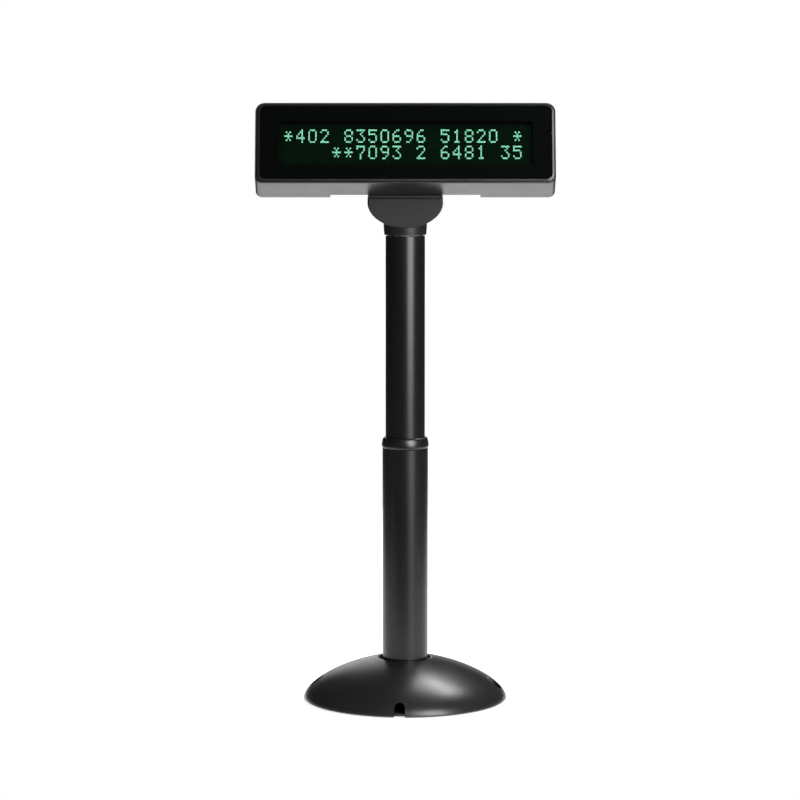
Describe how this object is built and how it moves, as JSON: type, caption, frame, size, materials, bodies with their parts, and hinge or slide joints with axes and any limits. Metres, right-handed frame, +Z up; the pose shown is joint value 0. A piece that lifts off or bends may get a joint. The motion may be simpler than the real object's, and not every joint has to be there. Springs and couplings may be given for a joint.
{
  "type": "customer pole display",
  "caption": "Two-line dot-matrix customer display: shallow tilting head on a fan-shaped swivel neck, telescopic black pole and round domed base.",
  "frame": {"origin": "centre of the base on the pole axis, at the level of the feet", "axes": "+Z up the pole, -Y the side the screen faces, +X to the right seen from the front"},
  "size_m": [0.19, 0.1313, 0.385],
  "materials": {
    "satin_plastic": "satin moulded, fine grain",
    "gloss_plastic": "polished",
    "tube_paint": "black powder coat, semi gloss",
    "steel": "zinc plated",
    "dark_steel": "black oxide",
    "cast_iron": "as cast",
    "rubber": "matt",
    "nylon": "natural",
    "window": "smoked, polished",
    "vfd_glass": "clear",
    "display_phosphor": "glowing dots",
    "foam": "open cell",
    "circuit_board": "solder mask",
    "chip": "moulded epoxy",
    "ferrite": "sintered",
    "capacitor": "sleeve",
    "connector": "natural"
  },
  "bodies": {
    "base": {"base_cover": "satin_plastic", "base_plate": "dark_steel", "base_weight": "cast_iron", "foot_pad_1": "rubber", "foot_pad_2": "rubber", "foot_pad_3": "rubber", "foot_pad_4": "rubber", "plate_screw_1": "steel", "plate_screw_2": "steel", "plate_screw_3": "steel", "pole_socket": "dark_steel", "socket_screw_1": "steel", "socket_screw_2": "steel", "socket_screw_3": "steel", "pole_ring": "rubber", "lower_tube": "tube_paint", "guide_bush": "gloss_plastic"},
    "mast": {"upper_tube": "tube_paint", "slide_bush": "nylon", "swivel_socket": "nylon"},
    "neck": {"neck_shell": "satin_plastic", "neck_rear_cover": "satin_plastic", "neck_screw_1": "steel", "neck_screw_2": "steel", "swivel_spigot": "nylon", "retaining_clip": "steel"},
    "head": {"front_bezel": "satin_plastic", "filter_window": "window", "rear_housing": "satin_plastic", "vfd_front_glass": "vfd_glass", "vfd_spacer_frame": "vfd_glass", "vfd_back_glass": "vfd_glass", "vfd_anode_plate": "display_phosphor", "vfd_grid": "dark_steel", "vfd_lead_comb": "steel", "vfd_exhaust_tip": "vfd_glass", "vfd_foam_pad": "foam", "display_pcb": "circuit_board", "controller_chip": "chip", "driver_chip_1": "chip", "driver_chip_2": "chip", "converter_transformer": "ferrite", "filter_capacitor": "capacitor", "cable_socket": "connector", "hinge_bracket": "dark_steel", "friction_washer_left": "nylon", "friction_washer_right": "nylon", "spring_washer": "steel", "tilt_nut": "steel", "tilt_pin": "steel", "housing_screw_1": "steel", "pcb_screw_1": "steel", "housing_screw_2": "steel", "pcb_screw_2": "steel", "housing_screw_3": "steel", "pcb_screw_3": "steel", "housing_screw_4": "steel", "pcb_screw_4": "steel", "hinge_screw_1": "steel", "hinge_screw_2": "steel"}
  },
  "joints": [
    {"name": "pole_slide", "type": "slide", "parent": "base", "child": "mast", "axis": [0, 0, 1], "range_m": [-0.125, 0]},
    {"name": "head_swivel", "type": "hinge", "parent": "mast", "child": "neck", "pos_m": [0, 0, 0.3005], "axis": [0, 0, 1], "range_deg": [-165, 165]},
    {"name": "head_tilt", "type": "hinge", "parent": "neck", "child": "head", "pos_m": [0, -0.00004, 0.34169], "axis": [-1, 0, 0], "range_deg": [-5, 35]}
  ]
}
